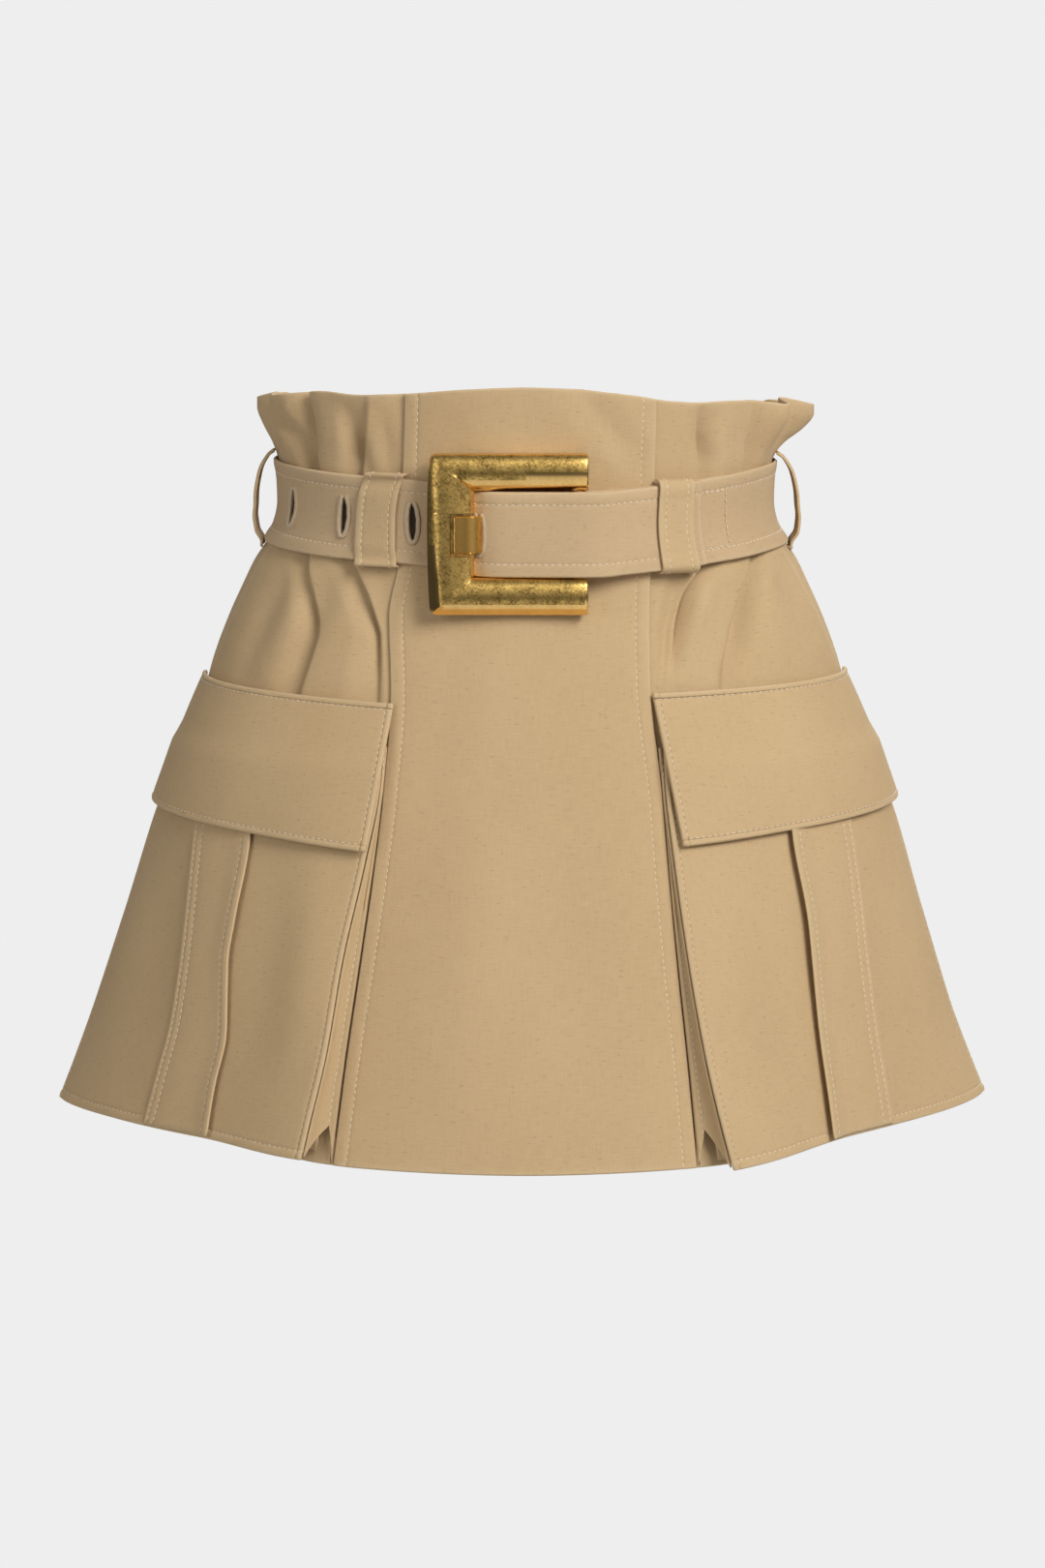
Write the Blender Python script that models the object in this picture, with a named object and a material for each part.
"""Ruffled (paperbag-waist) mini skirt, worn form without its wearer.

Metres, +Z up, front faces -Y, +X is the picture's right.  The origin is on the body axis at the
middle of the belt.  Every cloth piece is a patch of one outline, skin(theta, z), moved along its
normal and given its own wall, so neighbours keep one small gap everywhere.
"""
import math

import bmesh
import bpy
import numpy as np

# ------------------------------------------------------------------ driving dimensions (metres)
WALL = 0.0012            # skirt panels, pocket cloth, loops
FLAP_WALL = 0.0020       # flaps: two layers sewn together
BELT_WALL = 0.0018       # belt: two layers sewn together
GAP = 0.0003             # space kept between sewn pieces
LAP = 0.0110             # side panel tucked under the front panel
PRONG_WALL = 0.0016
BELT_HALF = 0.0200       # half the belt's height
SLOT_HALF = 0.0092       # half the height of a belt slot
BELT_GAP = 0.0009        # space kept between the belt and the cloth under it
FOLD_TURN = 0.00330      # arc length of one turn of a knife pleat

# outline of the cloth's middle, by height: half width, depth to the front, depth to the back,
# and how far the round waist has flattened towards the hem (0 round, 1 flat sided)
OUTLINE = {
    "z":     (0.062, 0.050, 0.040, 0.030, 0.020, 0.010, 0.000, -0.010, -0.020, -0.030, -0.041,
              -0.059, -0.083, -0.120, -0.160, -0.200, -0.250, -0.315),
    "side":  (0.1256, 0.1262, 0.1262, 0.1252, 0.1240, 0.1230, 0.1228, 0.1246, 0.1302, 0.1370, 0.1424,
              0.1506, 0.1594, 0.1682, 0.1766, 0.1854, 0.1980, 0.2145),
    "front": (0.0880, 0.0874, 0.0868, 0.0863, 0.0861, 0.0861, 0.0861, 0.0862, 0.0864, 0.0868, 0.0876,
              0.0906, 0.0970, 0.1070, 0.1172, 0.1272, 0.1392, 0.1540),
    "back":  (0.0870, 0.0870, 0.0868, 0.0865, 0.0862, 0.0860, 0.0860, 0.0866, 0.0885, 0.0912, 0.0950,
              0.1015, 0.1090, 0.1170, 0.1240, 0.1305, 0.1395, 0.1515),
    "flat":  (0.00, 0.00, 0.00, 0.00, 0.00, 0.00, 0.00, 0.00, 0.00, 0.00, 0.02,
              0.06, 0.13, 0.28, 0.45, 0.62, 0.82, 1.00),
}
LEVELS = (0.0585, 0.0500, 0.0400, 0.0300, 0.0215, 0.0110, 0.0000, -0.0110, -0.0210, -0.0320,
          -0.0450, -0.0620, -0.0850, -0.1150, -0.1600, -0.2350, -0.3120)

# front panel edges: height and x of the picture's left and right edge
PANEL_EDGES = {
    "z":     (0.062, 0.020, -0.024, -0.050, -0.085, -0.134, -0.170, -0.216, -0.262, -0.315),
    "left":  (0.0585, 0.0595, 0.0618, 0.0665, 0.0655, 0.0690, 0.0733, 0.0798, 0.0867, 0.0935),
    "right": (0.0642, 0.0627, 0.0609, 0.0602, 0.0607, 0.0663, 0.0691, 0.0733, 0.0781, 0.0830),
}
# knife pleats of a side panel, outer one and inner one: height, angle from the front, how far the
# fold turns back (degrees) and the cloth taken under it
PLEATS_LEFT = (
    {"z": (0.062, 0.040, 0.020, -0.020, -0.041, -0.062, -0.085, -0.115),
     "at": (46.0, 48.0, 50.0, 51.0, 45.5, 40.5, 37.5, 37.0),
     "turn": (0.0, 90.0, 180.0, 180.0, 180.0, 120.0, 55.0, 0.0),
     "under": (0.0, 0.0, 0.0050, 0.0070, 0.0035, 0.0, 0.0, 0.0)},
    {"z": (0.062, 0.040, 0.020, -0.020, -0.041, -0.062, -0.085, -0.115),
     "at": (66.0, 65.0, 64.0, 64.0, 60.0, 56.5, 57.0, 58.0),
     "turn": (180.0, 180.0, 180.0, 180.0, 180.0, 150.0, 60.0, 0.0),
     "under": (0.0020, 0.0040, 0.0070, 0.0070, 0.0040, 0.0, 0.0, 0.0)},
)
PLEATS_RIGHT = (
    {"z": (0.062, 0.040, 0.020, -0.020, -0.041, -0.062, -0.085, -0.115),
     "at": (50.0, 51.5, 53.0, 52.5, 46.0, 41.5, 38.0, 37.0),
     "turn": (0.0, 90.0, 180.0, 180.0, 150.0, 80.0, 40.0, 0.0),
     "under": (0.0, 0.0, 0.0050, 0.0060, 0.0, 0.0, 0.0, 0.0)},
    {"z": (0.062, 0.040, 0.020, -0.020, -0.041, -0.062, -0.085, -0.115),
     "at": (69.0, 68.5, 68.0, 67.0, 61.0, 55.0, 50.0, 48.0),
     "turn": (120.0, 150.0, 180.0, 180.0, 150.0, 90.0, 40.0, 0.0),
     "under": (0.0, 0.0, 0.0050, 0.0060, 0.0, 0.0, 0.0, 0.0)},
)
SEAM = {"z": (0.062, -0.020, -0.060, -0.100, -0.315), "at": (81.0, 81.0, 84.0, 86.0, 87.0)}
# flare of the ruffle at the top edge, by angle from the front; the back repeats even waves
RUFFLE = {
    "at":    (0.0, 24.0, 38.0, 52.0, 60.0, 71.0, 78.0, 84.0, 92.0, 100.0, 109.0),
    "left":  (0.0, 0.0005, -0.0010, 0.0010, 0.0, 0.0030, 0.0060, -0.0005, 0.0085, 0.0010, 0.0060),
    "right": (0.0, 0.0005, -0.0015, 0.0010, 0.0, 0.0020, 0.0100, 0.0024, 0.0180, 0.0010, 0.0060),
}
# level of the top edge against its mean height, by angle from the front
TOP_EDGE = {
    "at":    (-180.0, -130.0, -110.0, -90.0, -75.0, -62.0, -50.0, -38.0, -20.0, 0.0, 15.0, 25.0,
              35.0, 45.0, 58.0, 80.0, 91.0, 110.0, 130.0, 180.0),
    "shift": (-0.0160, -0.0130, -0.0070, -0.0044, -0.0022, -0.0008, -0.0016, -0.0010, 0.0018,
              0.0029, 0.0022, 0.0004, -0.0020, -0.0048, -0.0056, -0.0056, -0.0052, -0.0075,
              -0.0130, -0.0160),
}
BACK_WAVES = 8           # ruffle waves and gathers from the last listed angle round the back
BACK_FLARE = 0.0060
GATHER = 0.0032          # how deep a gather dips at the belt
# cargo pocket: height, x of its front edge on each side, how far it stands off at both edges
POCKET = {
    "z":     (-0.113, -0.131, -0.167, -0.213, -0.258, -0.290, -0.312),
    "left":  (0.0697, 0.0713, 0.0786, 0.0893, 0.0972, 0.1050, 0.1102),
    "right": (0.0675, 0.0685, 0.0728, 0.0794, 0.0875, 0.0950, 0.1010),
    "front": (0.0036, 0.0045, 0.0066, 0.0098, 0.0140, 0.0165, 0.0180),
    "back_left":  (0.0052, 0.0080, 0.0135, 0.0178, 0.0216, 0.0254, 0.0286),
    "back_right": (0.0052, 0.0080, 0.0130, 0.0160, 0.0186, 0.0228, 0.0265),
}
POCKET_TOP, POCKET_HEM = -0.1130, -0.3120
FLAP = {"top": -0.0885, "bottom": -0.1545,
        "left": (0.0650, 0.0783), "right": (0.0624, 0.0771)}
BAND = {"z": (-0.148, -0.160, -0.200, -0.235, -0.312),
        "left_near": (0.1340, 0.1345, 0.1415, 0.1465, 0.1565),
        "left_far": (0.1625, 0.1641, 0.1683, 0.1735, 0.1915),
        "right_near": (0.1285, 0.1295, 0.1365, 0.1410, 0.1500),
        "right_far": (0.1595, 0.1620, 0.1675, 0.1725, 0.1845)}
BUCKLE = {"left": -0.0466, "right": 0.0303, "top": 0.0391, "bottom": -0.0391,
          "bar_side": 0.0216, "bar_long": 0.0180, "z": -0.0088, "y": -0.0908, "tilt": 1.5,
          "pivot_x": 0.0260, "pivot_r": 0.0015, "window": 0.0211}


# ------------------------------------------------------------------ small mathematics
def smooth(t):
    t = np.clip(t, 0.0, 1.0)
    return t * t * (3.0 - 2.0 * t)


def curve(xs, ys, x):
    """Smooth curve through a short table (cubic pieces, limited slopes)."""
    xs, ys = np.asarray(xs, float), np.asarray(ys, float)
    if xs[0] > xs[-1]:
        xs, ys = xs[::-1], ys[::-1]
    d = np.diff(ys) / np.diff(xs)
    m = np.zeros(len(xs))
    m[0], m[-1] = d[0], d[-1]
    same = d[:-1] * d[1:] > 0
    m[1:-1] = np.where(same, 2 * d[:-1] * d[1:] / np.where(same, d[:-1] + d[1:], 1.0), 0.0)
    x = np.clip(np.asarray(x, float), xs[0], xs[-1])
    i = np.clip(np.searchsorted(xs, x) - 1, 0, len(xs) - 2)
    h = xs[i + 1] - xs[i]
    t = (x - xs[i]) / h
    return ((2 * t**3 - 3 * t**2 + 1) * ys[i] + (t**3 - 2 * t**2 + t) * h * m[i]
            + (-2 * t**3 + 3 * t**2) * ys[i + 1] + (t**3 - t**2) * h * m[i + 1])


def skin(theta, z):
    """Middle of plain cloth at angle theta (degrees from the front towards +X) and height z."""
    theta, z = np.broadcast_arrays(np.asarray(theta, float), np.asarray(z, float))
    t = np.radians(theta)
    s, c = np.sin(t), np.cos(t)
    side = curve(OUTLINE["z"], OUTLINE["side"], z)
    depth = np.where(c >= 0, curve(OUTLINE["z"], OUTLINE["front"], z),
                     curve(OUTLINE["z"], OUTLINE["back"], z))
    flat = curve(OUTLINE["z"], OUTLINE["flat"], z)
    away = np.degrees(np.arctan2(np.abs(s), np.abs(c)))
    e = 2.0 - flat * (0.15 + 0.40 * smooth((away - 30.0) / 30.0))
    r = (np.abs(s / side) ** e + np.abs(c / depth) ** e) ** (-1.0 / e)
    return np.stack([r * s, -r * c, z], axis=-1)


def outward(theta, z):
    """Unit normal of the outline."""
    a = skin(theta + 0.6, z) - skin(theta - 0.6, z)
    b = skin(theta, np.asarray(z) + 0.0025) - skin(theta, np.asarray(z) - 0.0025)
    n = np.cross(a, b)
    return n / np.linalg.norm(n, axis=-1, keepdims=True)


def lay(theta, z, n):
    """Point n metres off the outline."""
    theta, z, n = np.broadcast_arrays(np.asarray(theta, float), np.asarray(z, float),
                                      np.asarray(n, float))
    return skin(theta, z) + outward(theta, z) * n[..., None]


def angle_at_x(x, z):
    """Angle at which the front half of the outline reaches the width x."""
    lo, hi = 0.0, 89.0
    for _ in range(40):
        mid = 0.5 * (lo + hi)
        if float(skin(mid, z)[0]) < x:
            lo = mid
        else:
            hi = mid
    return 0.5 * (lo + hi)


def flare(theta):
    """Ruffle at the top edge in metres off the outline."""
    theta = (np.asarray(theta, float) + 180.0) % 360.0 - 180.0
    away = np.abs(theta)
    near = np.where(theta < 0, curve(RUFFLE["at"], RUFFLE["left"], away),
                    curve(RUFFLE["at"], RUFFLE["right"], away))
    last = RUFFLE["at"][-1]
    wave = BACK_FLARE * (0.5 + 0.5 * np.cos(2 * np.pi * (away - last) * BACK_WAVES
                                            / (2 * (180.0 - last))))
    return np.where(away <= last, near, wave)


def gather(theta, z):
    """Inward dip of the cloth pressed by the belt, round the sides and back."""
    away = np.abs((np.asarray(theta, float) + 180.0) % 360.0 - 180.0)
    last = RUFFLE["at"][-1]
    wave = 0.5 - 0.5 * np.cos(2 * np.pi * (away - last) * BACK_WAVES / (2 * (180.0 - last)))
    reach = smooth((away - 96.0) / 12.0)
    fade = smooth((z + 0.130) / 0.095) * (1.0 - smooth((z - 0.024) / 0.030))
    return -GATHER * wave * reach * fade


def rise(z):
    """Share of the ruffle's flare reached at height z, opening at once above the belt."""
    t = (np.asarray(z, float) - 0.0200) / 0.0290
    return np.clip(t, 0.0, 1.08) ** 1.15


def edge_shift(theta, z):
    """Level of the top edge: highest at the front centre, lower where the ruffle flares."""
    theta = (np.asarray(theta, float) + 180.0) % 360.0 - 180.0
    top = smooth((np.asarray(z, float) - 0.024) / 0.0345)
    level = curve(TOP_EDGE["at"], TOP_EDGE["shift"], theta)
    return top * (level - 0.30 * np.maximum(flare(theta), 0.0))


def hem_rise(side, u):
    """Lift of the pocket's hem, from its front corner (0) to its back corner (1)."""
    lift = float(curve((0.0, 0.12, 0.3, 0.7, 1.0), (0.0, 0.0040, 0.0050, 0.0050, 0.0030), u))
    return lift + (0.0034 * u * u if side > 0 else 0.0)


# ------------------------------------------------------------------ solids
def material(name, color, metallic=0.0, roughness=0.8):
    mat = bpy.data.materials.get(name) or bpy.data.materials.new(name)
    mat.use_nodes = True
    shader = mat.node_tree.nodes["Principled BSDF"]
    shader.inputs["Base Color"].default_value = (*color, 1.0)
    shader.inputs["Metallic"].default_value = metallic
    shader.inputs["Roughness"].default_value = roughness
    return mat


TWILL = (0.52, 0.38, 0.21)
TWILL_DARK = (0.45, 0.33, 0.18)
GOLD = (0.46, 0.31, 0.09)


def solid(name, verts, faces, color, metallic=0.0, roughness=0.85):
    """One closed body, its faces turned outwards."""
    verts = np.asarray(verts, float)
    tris = []
    for f in faces:
        for k in range(1, len(f) - 1):
            tris.append((f[0], f[k], f[k + 1]))
    tris = np.asarray(tris)
    a, b, c = (verts[tris[:, k]] for k in range(3))
    if float(np.einsum("ij,ij->i", a, np.cross(b, c)).sum()) < 0:
        tris = tris[:, ::-1]
    mesh = bpy.data.meshes.new(name)
    mesh.from_pydata([tuple(v) for v in verts], [], [tuple(int(i) for i in t) for t in tris])
    tidy = bmesh.new()
    tidy.from_mesh(mesh)
    bmesh.ops.recalc_face_normals(tidy, faces=tidy.faces[:])
    tidy.to_mesh(mesh)
    tidy.free()
    mesh.materials.append(material(name + "_look", color, metallic, roughness))
    mesh.update()
    obj = bpy.data.objects.new(name, mesh)
    bpy.context.scene.collection.objects.link(obj)
    return obj


def grid_normals(grid):
    du = np.zeros_like(grid)
    dv = np.zeros_like(grid)
    du[:, 1:-1] = grid[:, 2:] - grid[:, :-2]
    du[:, 0], du[:, -1] = grid[:, 1] - grid[:, 0], grid[:, -1] - grid[:, -2]
    dv[1:-1] = grid[2:] - grid[:-2]
    dv[0], dv[-1] = grid[1] - grid[0], grid[-1] - grid[-2]
    n = np.cross(du, dv)
    return n / np.linalg.norm(n, axis=-1, keepdims=True)


def sheet(name, grid, wall, color, holes=(), **look):
    """A wall round a grid of middle points; cells listed in holes are cut through."""
    grid = np.asarray(grid, float)
    rows, cols = grid.shape[:2]
    n = grid_normals(grid)
    verts = np.concatenate([(grid + n * wall / 2).reshape(-1, 3),
                            (grid - n * wall / 2).reshape(-1, 3)])
    back = rows * cols

    def at(i, j, side):
        return side * back + i * cols + j

    cut = set(holes)
    faces = []
    for i in range(rows - 1):
        for j in range(cols - 1):
            if (i, j) in cut:
                continue
            a, b, c, d = (i, j), (i, j + 1), (i + 1, j + 1), (i + 1, j)
            if (i + j) % 2:
                faces += [[at(*p, 0) for p in (a, b, c)], [at(*p, 0) for p in (a, c, d)],
                          [at(*p, 1) for p in (c, b, a)], [at(*p, 1) for p in (d, c, a)]]
            else:
                faces += [[at(*p, 0) for p in (a, b, d)], [at(*p, 0) for p in (b, c, d)],
                          [at(*p, 1) for p in (d, b, a)], [at(*p, 1) for p in (d, c, b)]]
            for p, q, other in ((a, b, (i - 1, j)), (b, c, (i, j + 1)),
                                (c, d, (i + 1, j)), (d, a, (i, j - 1))):
                outside = not (0 <= other[0] < rows - 1 and 0 <= other[1] < cols - 1)
                if outside or other in cut:
                    faces.append([at(*q, 0), at(*p, 0), at(*p, 1), at(*q, 1)])
    used = sorted({k for f in faces for k in f})
    place = {k: i for i, k in enumerate(used)}
    return solid(name, verts[used], [[place[k] for k in f] for f in faces], color, **look)


# ------------------------------------------------------------------ skirt panels
def panel_edge(side, z):
    x = float(curve(PANEL_EDGES["z"], PANEL_EDGES["left" if side < 0 else "right"], z))
    return angle_at_x(x, z)


def front_panel():
    across = (0.0, 0.04, 0.12, 0.24, 0.38, 0.50, 0.62, 0.76, 0.88, 0.96, 1.0)
    grid = []
    for z in LEVELS:
        lo, hi = -panel_edge(-1, z), panel_edge(1, z)
        row = []
        for u in across:
            t = lo + (hi - lo) * u
            zz = z + float(edge_shift(t, z))
            row.append(lay(t, zz, float(flare(t)) * float(rise(z))))
        grid.append(row)
    return sheet("front_panel", grid, WALL, TWILL)


def pleat_path(turn, under, steps=3):
    """Knife pleat in (along, off) from its fold edge: turn back, run under, turn forward."""
    turn = math.radians(max(turn, 0.01))
    points, heading, x, n = [(0.0, 0.0)], 0.0, 0.0, 0.0
    pieces = [(FOLD_TURN / steps, turn / steps)] * steps + [(under, 0.0)]
    pieces += [(FOLD_TURN / steps, -turn / steps)] * steps
    for length, bend in pieces:
        mid = heading + bend / 2
        x += length * math.cos(mid)
        n -= length * math.sin(mid)
        heading += bend
        points.append((x, n))
    return points


def side_panel(name, side, pleats):
    """From under the front panel's edge to the side seam, with two knife pleats."""
    grid = []
    for z in LEVELS:
        start = panel_edge(side, z)
        seam = float(curve(SEAM["z"], SEAM["at"], z))
        angles = np.linspace(start - 14.0, seam + 2.0, 260)
        pts = skin(angles, z)
        arc = np.concatenate([[0], np.cumsum(np.linalg.norm(np.diff(pts, axis=0), axis=1))])
        arc -= np.interp(start, angles, arc)
        end = float(np.interp(seam, angles, arc)) - GAP / 2
        folds = []
        for p in pleats:
            at = float(curve(p["z"], p["at"], z))
            turn = float(np.interp(z, p["z"][::-1], p["turn"][::-1]))
            under = float(np.interp(z, p["z"][::-1], p["under"][::-1])) + 0.0004
            folds.append((max(float(np.interp(at, angles, arc)), 0.0035), pleat_path(turn, under)))
        line = [(-LAP, 0.0, 0), (-LAP / 2, 0.0, 0), (0.0, 0.0, 0)]
        before, count = 0.0, (0.25, 0.5, 0.75)
        drop, edges = 0.0, []
        for where, path in folds:
            left = before
            for f in count + (0.92,):
                line.append((left + (where - left) * f, drop, 0))
            for x, n in path:
                line.append((where + x, n, 1))
            before, drop = where + path[-1][0], path[-1][1]
            line[-1] = (line[-1][0], line[-1][1], 2)
            edges.append(where)
        for f in (0.12, 0.28, 0.5, 0.75, 1.0):
            line.append((before + (end - before) * f, drop, 0))
        row, clear, low = [], 0.0, 0.0
        for s, n, kind in line:
            if kind == 2:
                clear, low = max(s, edges.pop(0) + 0.0015), n
                n_off = n
            elif kind == 1:
                n_off = n
            else:
                n_off = low * (1.0 - smooth((s - clear) / 0.016)) if s > 0 else 0.0
            hide = -(WALL + GAP) * (1.0 - smooth((s - 0.0012) / 0.012))
            t = float(np.interp(s, arc, angles))
            ruffle = float(flare(side * t)) * float(rise(z))
            zz = z + float(edge_shift(side * t, z))
            row.append(lay(side * t, zz, float(n_off) + float(hide) + ruffle))
        grid.append(row)
    return sheet(name, grid, WALL, TWILL)


def back_panel():
    """One gathered piece round the back, from side seam to side seam."""
    last = RUFFLE["at"][-1]
    step = (180.0 - last) / BACK_WAVES
    grid = []
    for z in LEVELS:
        seam = float(curve(SEAM["z"], SEAM["at"], z))
        trim = math.degrees(GAP / 2 / float(np.linalg.norm(skin(seam, z)[:2])))
        half = [seam + trim, seam + (92 - seam) * 0.55, 92.0, 96.0, 100.0, 104.5]
        half += [last + step * k for k in range(2 * BACK_WAVES)]
        half = half[:len(half)]
        angles = [a for a in half if a < 180.0 - 1e-6]
        angles = angles + [180.0] + [360.0 - a for a in reversed(angles)]
        t = np.asarray(angles)
        off = flare(t) * rise(z) + gather(t, z)
        grid.append(lay(t, z + edge_shift(t, z), off))
    return sheet("back_panel", grid, WALL, TWILL_DARK)


# ------------------------------------------------------------------ cargo pockets
def stand(u):
    """Direction in which a pocket stands off, from its front edge (0) to its back edge (1)."""
    a = math.radians(38.0 + 40.0 * u)
    return np.array([math.sin(a), -math.cos(a), 0.0])


def pocket_depth(side, u, z):
    near = float(curve(POCKET["z"], POCKET["front"], z))
    far = float(curve(POCKET["z"], POCKET["back_left" if side < 0 else "back_right"], z))
    return near + (far - near) * u


def pocket_angles(side, z):
    """Base angles of the pocket's front and back edges."""
    x = float(curve(POCKET["z"], POCKET["left" if side < 0 else "right"], z))
    x -= pocket_depth(side, 0, z) * float(stand(0)[0])
    return angle_at_x(x, z), 90.0


def pocket_point(side, u, z, more=0.0, base=None):
    first, last = pocket_angles(side, z)
    t = first + (last - first) * u
    p = skin(t, z) + stand(u) * ((pocket_depth(side, u, z) if base is None else base) + more)
    return np.array([p[0] * side, p[1], p[2]])


def on_pocket(side, u, z, off):
    """Point off metres in front of the pocket cloth's middle, along its own normal."""
    p = pocket_point(side, u, z)
    a = pocket_point(side, u + 0.02, z) - pocket_point(side, u - 0.02, z)
    b = pocket_point(side, u, z + 0.003) - pocket_point(side, u, z - 0.003)
    n = np.cross(a, b) * side
    return p + n / np.linalg.norm(n) * off


def pocket_u(side, x, z):
    lo, hi = 0.0, 1.0
    for _ in range(30):
        mid = 0.5 * (lo + hi)
        if abs(pocket_point(side, mid, z)[0]) < x:
            lo = mid
        else:
            hi = mid
    return 0.5 * (lo + hi)


POCKET_LEVELS = (POCKET_TOP, -0.131, -0.150, -0.175, -0.205, -0.240, -0.275, POCKET_HEM)


def pocket_panel(name, side):
    grid = []
    for z in POCKET_LEVELS:
        low = max(0.0, (z + 0.240) / (POCKET_HEM + 0.240)) if z < -0.240 else 0.0
        grid.append([pocket_point(side, u, z + low * hem_rise(side, u)) for u in np.linspace(0, 1, 10)])
    return sheet(name, grid, WALL, TWILL)


def pocket_gusset_front(name, side):
    """Folded wall from the skirt, beside the front panel's edge, to the pocket cloth's edge."""
    edge = PANEL_EDGES["left" if side < 0 else "right"]
    grid = []
    for z in POCKET_LEVELS[:-1] + (-0.2930, POCKET_HEM + 0.0010):
        base = angle_at_x(float(curve(PANEL_EDGES["z"], edge, z)) + 0.0030, z)
        p = lay(base, z, 0.0014)
        q = pocket_point(side, 0.0, z, more=-(WALL + GAP + 0.0004)) * np.array([side, 1, 1])
        fold = 0.0030 * max(0.0, (-0.2930 - z) / 0.018)
        mid = 0.5 * (p + q) + np.array([fold, 0.3 * fold, 0.0])
        grid.append([v * np.array([side, 1, 1]) for v in (p, mid, q)])
    return sheet(name, grid, WALL, TWILL_DARK)


def pocket_gusset_back(name, side):
    """Wall of the pocket at its back edge."""
    grid = []
    for z in POCKET_LEVELS[:-1] + (POCKET_HEM + 0.0010 + hem_rise(side, 1.0),):
        deep = pocket_depth(side, 1.0, z)
        row = [pocket_point(side, 1.0, z, base=0.0022 + (deep - WALL - GAP - 0.0028) * f)
               for f in (0.0, 0.5, 1.0)]
        grid.append(row)
    return sheet(name, grid, WALL, TWILL_DARK)


def pocket_floor(name, side):
    """Bottom of the pocket, folded up between skirt and pocket cloth."""
    grid = []
    for f, up in ((0.0, 0.0), (0.25, 0.0085), (0.5, 0.0165), (0.75, 0.0085), (1.0, 0.0)):
        row = []
        for u in np.linspace(0.0, 1.0, 10):
            first, last = pocket_angles(side, POCKET_HEM)
            uu = 0.034 + (0.966 - 0.012) * u
            z = POCKET_HEM + 0.0014 + up + hem_rise(side, uu)
            deep = pocket_depth(side, uu, z)
            near, far = 0.0022 + 0.0024 * uu, deep - WALL - GAP - 0.0007
            p = pocket_point(side, uu, z, base=near + (far - near) * f)
            row.append(p)
        grid.append(row)
    return sheet(name, grid, WALL, TWILL_DARK)


def pocket_band(name, side):
    key = "left" if side < 0 else "right"
    grid = []
    for z in (-0.1500, -0.175, -0.205, -0.240, -0.275, POCKET_HEM + 0.0014):
        near = float(curve(BAND["z"], BAND[key + "_near"], z))
        far = float(curve(BAND["z"], BAND[key + "_far"], z))
        ua, ub = pocket_u(side, near, z), pocket_u(side, far, z)
        low = max(0.0, (z + 0.240) / (POCKET_HEM + 0.240)) if z < -0.240 else 0.0
        grid.append([on_pocket(side, ua + (ub - ua) * k, z + low * hem_rise(side, ua + (ub - ua) * k),
                               WALL + GAP + 0.0002) for k in (0.0, 0.5, 1.0)])
    return sheet(name, grid, WALL, TWILL)


def flap_depth(side, u, z):
    over = WALL / 2 + GAP + FLAP_WALL / 2 + WALL + 0.0015
    low = pocket_depth(side, u, min(z, POCKET_TOP)) + over
    top = WALL / 2 + GAP + FLAP_WALL / 2 + 0.0007
    return top + (low - top) * float(smooth((FLAP["top"] - z) / 0.034))


def flap(name, side):
    key = "left" if side < 0 else "right"
    grid = []
    for k in (0.0, 0.12, 0.26, 0.40, 0.60, 0.80, 1.0):
        row = []
        for u in np.linspace(0, 1, 10):
            z = FLAP["top"] + (FLAP["bottom"] - FLAP["top"]) * k
            z += (0.0030 * u - 0.0012) * (1 - k) + 0.0006 * math.sin(math.pi * u) * k
            x = FLAP[key][0] + (FLAP[key][1] - FLAP[key][0]) * k
            deep = flap_depth(side, u, z)
            first = angle_at_x(x - flap_depth(side, 0, z) * float(stand(0)[0]), z)
            t = first + (91.0 - first) * u
            p = skin(t, z) + stand(u) * deep
            row.append([p[0] * side, p[1], p[2]])
        grid.append(row)
    return sheet(name, grid, FLAP_WALL, TWILL)


# ------------------------------------------------------------------ belt and loops
def belt_level(theta):
    away = np.abs((np.asarray(theta, float) + 180.0) % 360.0 - 180.0)
    return -0.0088 * (1.0 - smooth((away - 18.0) / 75.0))


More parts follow.
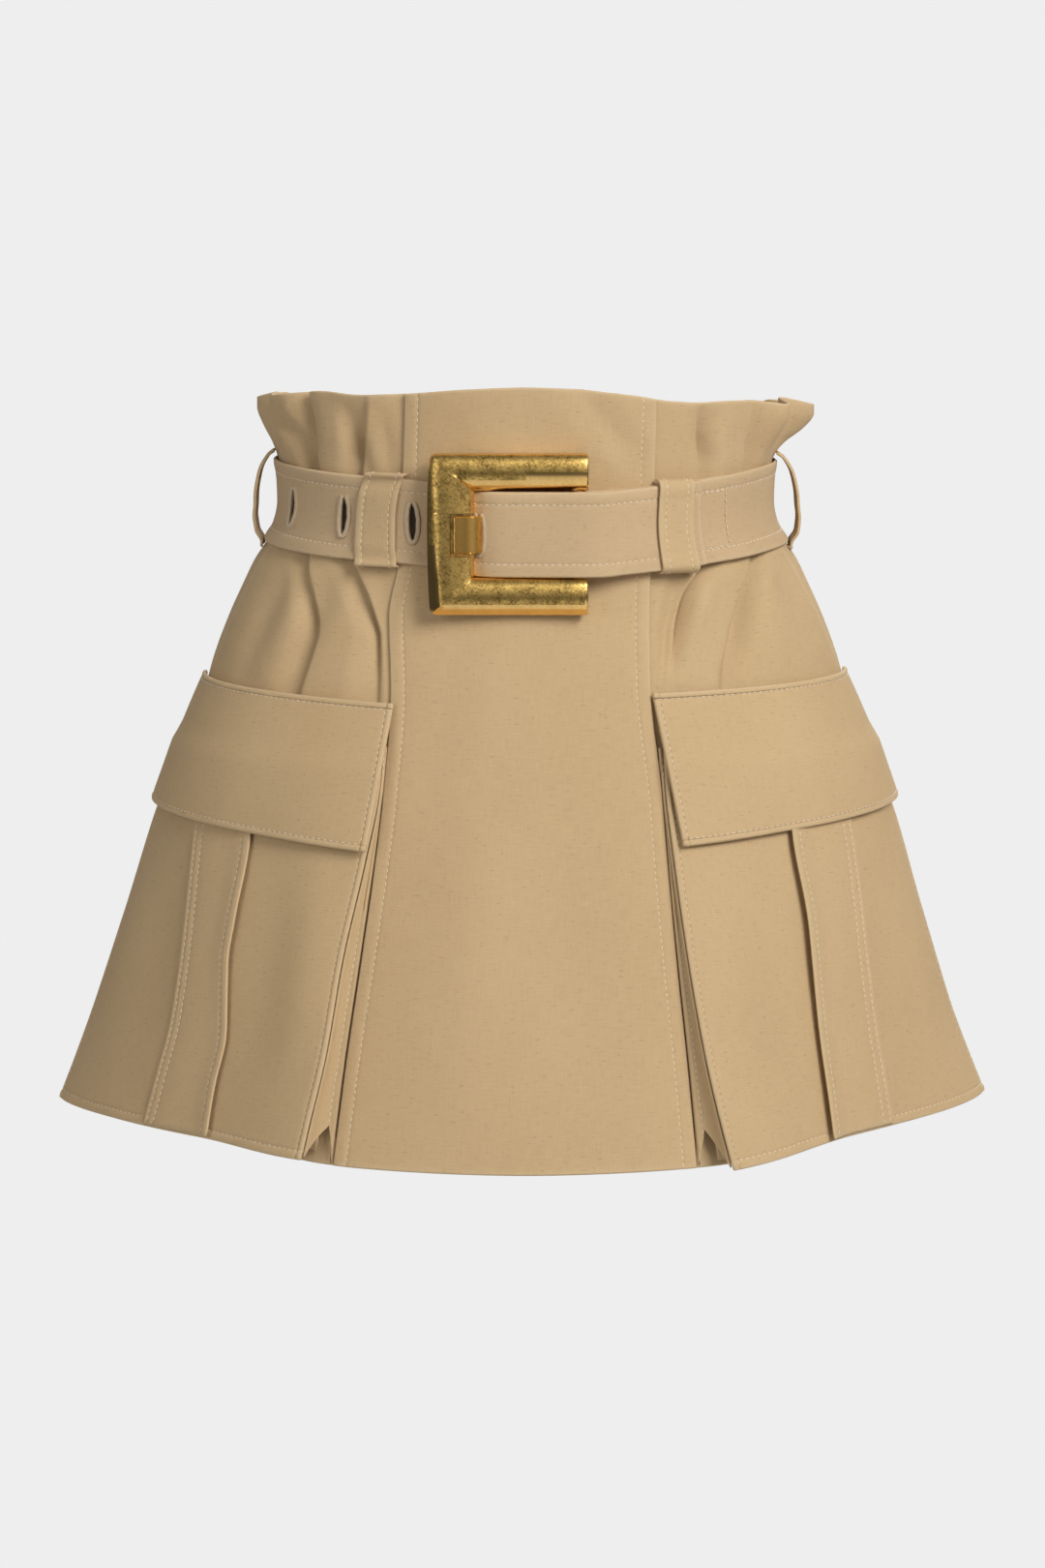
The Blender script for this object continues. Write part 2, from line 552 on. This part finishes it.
def belt():
    """One strap: folded round the pivot bar, once round the waist, over itself to its free end."""
    ring = WALL / 2 + BELT_GAP + BELT_WALL / 2
    layer = BELT_WALL + GAP
    bar_r = BUCKLE["pivot_r"] + GAP + BELT_WALL / 2 + 0.0001
    path = []

    def on(x, n):
        t = angle_at_x(abs(x), 0.0) * (1 if x >= 0 else -1)
        p = lay(t, 0.0, n)
        return (float(p[0]), float(p[1]), t)

    for x in (0.0970, 0.0870, 0.0750, 0.0630, 0.0510, 0.0430):
        path.append(on(x, ring))
    cx, cy = BUCKLE["pivot_x"], BUCKLE["y"] - 0.0004
    path.append((0.0355, -0.0870, 16.0))
    for a in (70, 110, 150, 185, 220, 255, 290):
        r = math.radians(a)
        path.append((cx + bar_r * math.cos(r), cy + bar_r * math.sin(r), 16.0))
    path.append((0.0335, -0.0919, 18.0))
    path.append(on(0.0430, ring + layer + 0.0003))
    for x, n in ((0.0520, layer), (0.0640, layer), (0.0760, layer), (0.0880, layer),
                 (0.0980, layer), (0.1060, layer * 0.6), (0.1120, layer * 0.15)):
        path.append(on(x, ring + n))
    for t in range(77, 282, 6):
        p = lay(t, 0.0, ring)
        path.append((float(p[0]), float(p[1]), float(t)))
    slots = []
    for x in (-0.1175, -0.1160, -0.1140, -0.1095, -0.1035, -0.0965, -0.0901, -0.0873, -0.0820,
              -0.0750, -0.0655, -0.0563, -0.0533, -0.0455, -0.0355, -0.0260):
        if x in (-0.1160, -0.0901, -0.0563):
            slots.append(len(path))
        path.append(on(x, ring))
    for x, y in ((-0.0231, -0.0886), (-0.0200, -0.0908), (-0.0165, -0.0930), (-0.0115, -0.0944),
                 (-0.0015, -0.0951), (0.0125, -0.0957), (0.0235, -0.0962), (0.0315, -0.0960),
                 (0.0385, -0.0941)):
        path.append((x, y, math.degrees(math.atan2(x, -y))))
    for x, n in ((0.0450, 2 * layer + 0.0016), (0.0520, 2 * layer + 0.0005), (0.0630, 2 * layer),
                 (0.0730, 2 * layer), (0.0820, 2 * layer)):
        path.append(on(x, ring + n))
    rows = (BELT_HALF, SLOT_HALF + 0.0008, 0.0, -SLOT_HALF - 0.0008, -BELT_HALF)
    grid = []
    for h in rows:
        row = []
        for x, y, t in path:
            z = float(belt_level(t)) + h
            push = skin(t, z) - skin(t, 0.0)
            held = 0.0 if y > 0 else float((1 - smooth((x - 0.0325) / 0.010))
                                           * smooth((x + 0.0265) / 0.006))
            lean = (z - BUCKLE["z"]) * math.tan(math.radians(BUCKLE["tilt"]))
            row.append([x + float(push[0]) * (1 - held),
                        y + float(push[1]) * (1 - held) + lean * held, z])
        grid.append(row)
    prong = [j for j, p in enumerate(path) if p[0] in (-0.0231, -0.0200)]
    holes = [(i, j) for j in slots + prong for i in (1, 2)]
    first = 6
    for j in range(first, first + 8):
        holes += [(1, j), (2, j)]
    return sheet("belt", grid, BELT_WALL, TWILL, holes=holes)


def belt_loop(name, theta, half, path):
    """Strap of cloth over the belt: path of (height from the belt's middle, off the outline)."""
    grid = []
    for h, n in path:
        row = []
        for k in (-1.0, 0.0, 1.0):
            t = theta + half * k
            z = float(belt_level(theta)) + h
            row.append(skin(t, z) + outward(t, 0.0) * n)
        grid.append(row)
    return sheet(name, grid, WALL, TWILL)


def hugging(top):
    return ((0.0240, 0.0025), (0.0228, 0.0034 + top * 0.5), (0.0212, top + 0.0002),
            (0.0120, top + 0.0008), (0.0, top + 0.0008), (-0.0120, top + 0.0006),
            (-0.0212, top), (-0.0228, 0.0030 + top * 0.45), (-0.0242, 0.0020))


# ------------------------------------------------------------------ buckle
def buckle_place(x, h, z):
    """Buckle coordinates (x, height over its back, z from its middle) to the shared frame."""
    a = math.radians(BUCKLE["tilt"])
    y = BUCKLE["y"] - h * math.cos(a) + z * math.sin(a)
    return (x, y, BUCKLE["z"] + z * math.cos(a) + h * math.sin(a) * 0.3)


def buckle_frame():
    b = BUCKLE
    # across a bar: share from the outer edge, height; the face is flat, both edges are bevelled
    section = ((0.00, -0.0013), (0.00, 0.0042), (0.06, 0.0060), (0.20, 0.0076), (0.46, 0.0080),
               (0.48, 0.0080), (0.62, 0.0078), (0.72, 0.0068), (0.96, 0.0036), (1.00, 0.0028),
               (1.00, -0.0013))
    notch_top, notch_low = 0.0108, -0.0108
    stations = [("top", b["right"]), ("top", b["right"] - 0.0095), ("corner", 1),
                ("left", notch_top), ("left", notch_top - 0.0003), ("left", notch_low + 0.0003),
                ("left", notch_low), ("corner", -1), ("bottom", b["right"] - 0.0095),
                ("bottom", b["right"])]
    verts = []
    for k, (kind, v) in enumerate(stations):
        for share, h in section:
            ins_l, ins_s = share * b["bar_long"], share * b["bar_side"]
            hh = h
            if k in (4, 5) and share > 0.47:
                hh = min(h, 0.0044)
            if k in (0, 9):
                hh = h * 0.93 if h > 0.004 else h
            if kind == "top":
                x, z = v, b["top"] - ins_l
            elif kind == "bottom":
                x, z = v, b["bottom"] + ins_l
            elif kind == "corner":
                x, z = b["left"] + ins_s, v * (b["top"] - ins_l)
            else:
                x, z = b["left"] + ins_s - 0.0004 * (1 - share), v
            verts.append(buckle_place(x, hh, z))
    m = len(section)
    faces = []
    for i in range(len(stations) - 1):
        for j in range(m):
            a, c = i * m + j, i * m + (j + 1) % m
            faces.append([a, c, c + m, a + m])
    faces.append(list(range(m)))
    faces.append(list(reversed(range((len(stations) - 1) * m, len(stations) * m))))
    frame = solid("buckle_frame", verts, faces, GOLD, metallic=1.0, roughness=0.35)
    rod, ring = [], 10
    for end in (1, -1):
        for k in range(ring):
            a = 2 * math.pi * k / ring
            rod.append(buckle_place(b["pivot_x"] + b["pivot_r"] * math.cos(a),
                                    0.0004 + b["pivot_r"] * math.sin(a),
                                    end * (b["window"] + 0.0040)))
    faces = [[k, (k + 1) % ring, ring + (k + 1) % ring, ring + k] for k in range(ring)]
    faces += [list(range(ring)), list(reversed(range(ring, 2 * ring)))]
    bar = solid("buckle_pivot_cutter", rod, faces, GOLD, metallic=1.0, roughness=0.35)
    bar.hide_render = True
    bar.display_type = "WIRE"
    join = frame.modifiers.new("join the pivot bar", "BOOLEAN")
    join.operation, join.solver, join.object = "UNION", "EXACT", bar
    return frame


def buckle_prong():
    """Wide tongue hooked round the pivot bar, under the strap and up through its slot."""
    b = BUCKLE
    cx, cy, turn = b["pivot_x"], b["y"] - 0.0004, b["pivot_r"] + GAP + PRONG_WALL / 2 + 0.0001
    path = [(-0.0360, -0.0966), (-0.0305, -0.0966), (-0.0255, -0.0965), (-0.0227, -0.0952),
            (-0.0197, -0.0924), (-0.0170, -0.0911), (-0.0125, -0.0908), (-0.0015, -0.0908),
            (0.0125, -0.0910), (0.0205, -0.0922)]
    for a in (262, 290, 320, 350, 20, 50, 80, 110, 135):
        r = math.radians(a)
        path.append((cx + turn * math.cos(r), cy + turn * math.sin(r)))
    grid = []
    for z in (0.0094, 0.0, -0.0094):
        lean = z * math.tan(math.radians(b["tilt"]))
        grid.append([(x, y + lean, b["z"] + z) for x, y in path])
    return sheet("buckle_prong", grid, PRONG_WALL, GOLD, metallic=1.0, roughness=0.3)


def scene_objects():
    for obj in list(bpy.data.objects):
        bpy.data.objects.remove(obj, do_unlink=True)
    front_panel()
    side_panel("side_panel_left", -1, PLEATS_LEFT)
    side_panel("side_panel_right", 1, PLEATS_RIGHT)
    back_panel()
    for name, side in (("left", -1), ("right", 1)):
        pocket_panel("pocket_panel_" + name, side)
        pocket_gusset_front("pocket_gusset_front_" + name, side)
        pocket_gusset_back("pocket_gusset_back_" + name, side)
        pocket_floor("pocket_floor_" + name, side)
        pocket_band("pocket_band_" + name, side)
        flap("flap_" + name, side)
    belt()
    single = WALL / 2 + BELT_GAP + BELT_WALL + GAP + WALL / 2
    triple = single + 2 * (BELT_WALL + GAP)
    belt_loop("belt_loop_front_left", -45.9, 5.4, hugging(single))
    belt_loop("belt_loop_front_right", 47.1, 5.4, hugging(triple))
    belt_loop("belt_loop_back", 180.0, 6.2, hugging(single))
    out = ((0.0240, 0.0040), (0.0215, 0.0060), (0.0150, 0.0090), (0.0050, 0.0128),
           (-0.0060, 0.0146), (-0.0150, 0.0138), (-0.0205, 0.0080), (-0.0225, 0.0036),
           (-0.0240, 0.0022))
    belt_loop("belt_loop_side_left", -90.0, 4.2, out)
    belt_loop("belt_loop_side_right", 90.0, 4.2, out)
    buckle_frame()
    buckle_prong()


scene_objects()
